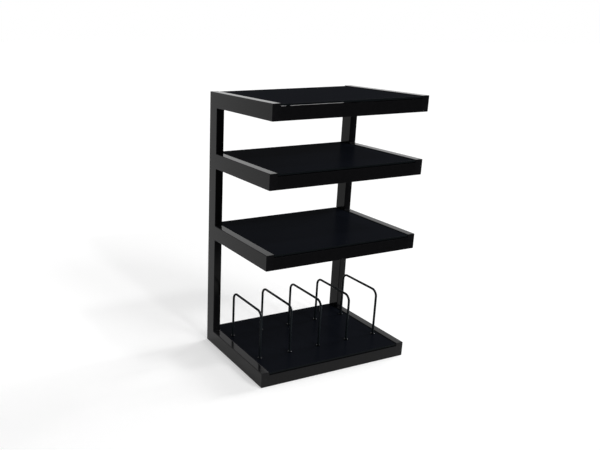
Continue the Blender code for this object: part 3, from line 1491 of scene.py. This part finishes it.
@dataclass(frozen=True)
class SoftLight:
    """A large, distant light, placed by its bearing from +X and its height above the floor, in degrees."""

    name: str
    bearing: float
    height: float
    level: float
    spread: float

    def place(self) -> None:
        """Put the light in the scene."""
        data = bpy.data.lights.new(self.name, "SUN")
        data.energy = self.level
        data.angle = math.radians(self.spread)
        lamp = scene_object(self.name, data)
        bearing, height = math.radians(self.bearing), math.radians(self.height)
        flat = math.cos(height)
        towards = Vector((flat * math.cos(bearing), flat * math.sin(bearing), math.sin(height)))
        lamp.rotation_euler = towards.to_track_quat("Z", "Y").to_euler()


@dataclass(frozen=True)
class Studio:
    """A plain white studio: floor, white surroundings, soft lights and the dark room behind the camera."""

    floor_radius: float = 40.0
    floor_colour: str = "#C4C4C4"
    floor_lift: float = 0.48
    sky_colour: str = "#FFFFFF"
    sky_level: float = 0.22
    lights: tuple[SoftLight, ...] = (
        SoftLight("front_box", bearing=-68.0, height=34.0, level=1.11, spread=20.0),
        SoftLight("front_lamp", bearing=-87.0, height=31.6, level=0.74, spread=4.6),
        SoftLight("high_lamp", bearing=-51.0, height=56.5, level=0.55, spread=6.3),
        SoftLight("low_side", bearing=0.0, height=14.9, level=2.14, spread=11.7),
        SoftLight("side_box", bearing=12.0, height=16.0, level=2.34, spread=26.8),
    )
    room_radius: float = 8.0
    room_lift: float = 0.004
    room_start: float = 0.35
    room_full: float = 1.0
    room_colour: str = "#181818"
    room_steps: int = 12
    steps: int = 96

    def seen_directly(self, tree: bpy.types.NodeTree) -> bpy.types.NodeSocket:
        """Give 1 for rays from the camera, from gloss and through glass, and 0 for the rest.

        Args:
            tree: The node tree that asks.

        Returns:
            The socket with the answer.
        """
        rays = add_node(tree, "ShaderNodeLightPath").outputs
        seen = rays["Is Camera Ray"]
        for kind in ("Is Glossy Ray", "Is Transmission Ray"):
            seen = add_node(tree, "ShaderNodeMath", {0: seen, 1: rays[kind]}, operation="MAXIMUM").outputs[0]
        return seen

    def stage_object(
        self, name: str, profile: Sequence[tuple[float, float]]
    ) -> tuple[bpy.types.Object, bpy.types.NodeTree]:
        """Turn a profile into a stage object with an empty material.

        Args:
            name: The object's name.
            profile: Points as (radius, height).

        Returns:
            The object and its material's node tree.
        """
        mesh = turned_mesh(name, profile, self.steps)
        material = bpy.data.materials.new(name)
        material.use_nodes = True
        material.node_tree.nodes.clear()
        mesh.materials.append(material)
        made = scene_object(name, mesh)
        return made, material.node_tree

    def build_floor(self) -> None:
        """Make the floor: pale and diffuse, lifted to white where it is seen, so that shadows stay on it."""
        _, tree = self.stage_object("studio_floor", [(0.0, 0.0), (self.floor_radius, 0.0)])
        matt = add_node(tree, "ShaderNodeBsdfDiffuse", {"Color": linear(self.floor_colour)})
        lift = add_node(
            tree,
            "ShaderNodeMath",
            {0: self.seen_directly(tree), 1: self.floor_lift},
            operation="MULTIPLY",
        )
        glow = add_node(tree, "ShaderNodeEmission", {"Strength": lift.outputs[0]})
        both = add_node(tree, "ShaderNodeAddShader", {0: matt.outputs[0], 1: glow.outputs[0]})
        add_node(tree, "ShaderNodeOutputMaterial", {"Surface": both.outputs[0]})

    def build_dark_room(self) -> None:
        """Put the dark room behind the camera, seen by gloss alone, so that the black fronts stay black."""
        dome = rounded_corner((0.0, self.room_lift), self.room_radius, 0, 1, self.room_steps)
        room, tree = self.stage_object("dark_room", [(0.0, self.room_lift), *dome])
        place = add_node(tree, "ShaderNodeTexCoord").outputs["Object"]
        depth = add_node(tree, "ShaderNodeSeparateXYZ", {"Vector": place})
        dark = add_node(
            tree,
            "ShaderNodeMapRange",
            {"Value": depth.outputs["Y"], "From Min": -self.room_start, "From Max": -self.room_full},
            interpolation_type="SMOOTHSTEP",
        )
        clear = add_node(tree, "ShaderNodeBsdfTransparent")
        wall = add_node(tree, "ShaderNodeEmission", {"Color": linear(self.room_colour), "Strength": 1.0})
        mixed = add_node(
            tree, "ShaderNodeMixShader", {0: dark.outputs[0], 1: clear.outputs[0], 2: wall.outputs[0]}
        )
        add_node(tree, "ShaderNodeOutputMaterial", {"Surface": mixed.outputs[0]})
        room.visible_camera = False
        room.visible_diffuse = False
        room.visible_shadow = False
        room.visible_transmission = False

    def build_light(self) -> None:
        """Make the soft lights and the white surroundings."""
        for light in self.lights:
            light.place()
        world = bpy.data.worlds.new("white_studio")
        bpy.context.scene.world = world
        world.use_nodes = True
        tree = world.node_tree
        tree.nodes.clear()
        level = add_node(
            tree,
            "ShaderNodeMapRange",
            {"Value": self.seen_directly(tree), "To Min": self.sky_level, "To Max": 1.0},
        )
        white = add_node(
            tree, "ShaderNodeBackground", {"Color": linear(self.sky_colour), "Strength": level.outputs[0]}
        )
        add_node(tree, "ShaderNodeOutputWorld", {"Surface": white.outputs[0]})

    def build(self) -> None:
        """Build the whole studio."""
        self.build_floor()
        self.build_dark_room()
        self.build_light()


def main() -> None:
    """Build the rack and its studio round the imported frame."""
    logging.basicConfig(level=logging.INFO, format="%(name)s: %(message)s")
    for old in list(bpy.data.objects):
        bpy.data.objects.remove(old, do_unlink=True)
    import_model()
    PhotoCamera().place()
    for side in Side:
        WeldedSideFrame(side).build()
    rails = [CrossRail(level, end) for level in Level for end in End]
    for rail in rails:
        rail.build()
    WeldBeads(rails).build()
    repeat = RepeatTree()
    sockets = DividerSockets()
    for level in Level:
        GlassShelf(level).build(sockets.places() if level is Level.BASE else ())
    sockets.build(repeat)
    wire = BentWireTree()
    for number in range(1, sockets.count + 1):
        RecordDivider(number).build(wire)
    ShelfPads().build(repeat)
    FloorGlides().build(repeat)
    Studio().build()
    bpy.context.scene.view_settings.view_transform = "Standard"


if __name__ == "__main__":
    main()
